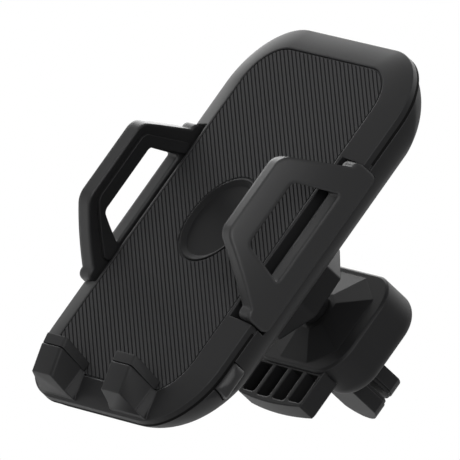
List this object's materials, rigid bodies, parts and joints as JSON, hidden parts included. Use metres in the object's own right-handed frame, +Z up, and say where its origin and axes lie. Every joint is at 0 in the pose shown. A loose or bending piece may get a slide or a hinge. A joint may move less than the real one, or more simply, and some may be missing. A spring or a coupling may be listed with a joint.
{
  "type": "air vent phone holder",
  "caption": "Black air vent phone holder with a ribbed cradle, two sliding side arms, feet, a ball joint with lock nut and a squeeze clip for the vent blade",
  "frame": {"origin": "Middle of the gap between the two jaw pads of the vent clip, where a vent blade is held", "axes": "+X to the right seen from the front, +Y back towards the vent, +Z up"},
  "size_m": [0.07, 0.0738, 0.0992],
  "materials": {
    "shell_plastic": "fine matt grain",
    "joint_plastic": "smooth satin",
    "inner_plastic": "plain moulded",
    "gear_plastic": "natural nylon, satin",
    "pad_rubber": "soft ribbed",
    "grip_rubber": "soft matt",
    "screw_steel": "zinc plated",
    "spring_steel": "drawn wire"
  },
  "bodies": {
    "mount": {"mount_housing": "shell_plastic", "pivot_pin": "screw_steel", "lower_jaw_pad": "grip_rubber", "stud_screw": "screw_steel", "clip_spring": "spring_steel"},
    "clip": {"clip_lever": "shell_plastic", "upper_jaw_pad": "grip_rubber"},
    "stud": {"ball_stud": "joint_plastic"},
    "seat": {"ball_seat": "inner_plastic"},
    "cradle": {"rear_shell": "shell_plastic", "front_cover": "shell_plastic", "grip_pad": "pad_rubber", "centre_disc": "shell_plastic", "left_foot_pad": "grip_rubber", "right_foot_pad": "grip_rubber", "case_screws": "screw_steel", "chassis_plate": "inner_plastic", "chassis_screws": "screw_steel", "damper": "inner_plastic", "lock_spring": "spring_steel", "left_arm_spring": "spring_steel", "right_arm_spring": "spring_steel"},
    "nut": {"lock_nut": "joint_plastic"},
    "right_slider": {"right_arm": "shell_plastic", "right_arm_pad": "grip_rubber"},
    "left_slider": {"left_arm": "shell_plastic", "left_arm_pad": "grip_rubber"},
    "pinion_gear": {"pinion": "gear_plastic"},
    "damper_wheel": {"damper_gear": "gear_plastic"},
    "button": {"release_button": "shell_plastic"},
    "lock": {"lock_slide": "gear_plastic"}
  },
  "joints": [
    {"name": "clip_squeeze", "type": "hinge", "parent": "mount", "child": "clip", "pos_m": [0, -0.0114, -0.0036], "axis": [1, 0, 0], "range_deg": [0, 12], "stiffness_Nm_per_rad": 0.05, "springref_deg": -9.17},
    {"name": "swivel", "type": "hinge", "parent": "mount", "child": "stud", "pos_m": [0, -0.0301, 0.0048], "axis": [0, 1, 0], "continuous": true},
    {"name": "tilt", "type": "hinge", "parent": "stud", "child": "seat", "pos_m": [0, -0.0301, 0.0048], "axis": [1, 0, 0], "range_deg": [-22, 22]},
    {"name": "pan", "type": "hinge", "parent": "seat", "child": "cradle", "pos_m": [0, -0.0301, 0.0048], "axis": [0, 0, 1], "range_deg": [-22, 22]},
    {"name": "nut_turn", "type": "hinge", "parent": "cradle", "child": "nut", "pos_m": [0, -0.0301, 0.0048], "axis": [0, 1, 0], "range_deg": [0, 180]},
    {"name": "right_arm_slide", "type": "slide", "parent": "cradle", "child": "right_slider", "axis": [1, 0, 0], "range_m": [0, 0.015]},
    {"name": "left_arm_slide", "type": "slide", "parent": "cradle", "child": "left_slider", "axis": [-1, 0, 0], "range_m": [0, 0.015]},
    {"name": "pinion_turn", "type": "hinge", "parent": "cradle", "child": "pinion_gear", "pos_m": [0, -0.0477, 0.0048], "axis": [0, 1, 0], "range_deg": [0, 176]},
    {"name": "damper_turn", "type": "hinge", "parent": "cradle", "child": "damper_wheel", "pos_m": [-0.0084, -0.0477, 0.0048], "axis": [0, -1, 0], "range_deg": [0, 246]},
    {"name": "button_press", "type": "slide", "parent": "cradle", "child": "button", "axis": [-1, 0, 0], "range_m": [0, 0.002], "stiffness_N_per_m": 150, "springref_m": -0.0004},
    {"name": "lock_press", "type": "slide", "parent": "cradle", "child": "lock", "axis": [0, 0, -1], "range_m": [0, 0.002], "deforming": ["lock_spring"]}
  ],
  "couplings": [
    {"joint": "left_arm_slide", "follows": "right_arm_slide", "ratio": 1},
    {"joint": "pinion_turn", "follows": "right_arm_slide", "rad_per_m": 204.08},
    {"joint": "damper_turn", "follows": "right_arm_slide", "rad_per_m": 285.71},
    {"joint": "lock_press", "follows": "button_press", "ratio": 1}
  ]
}
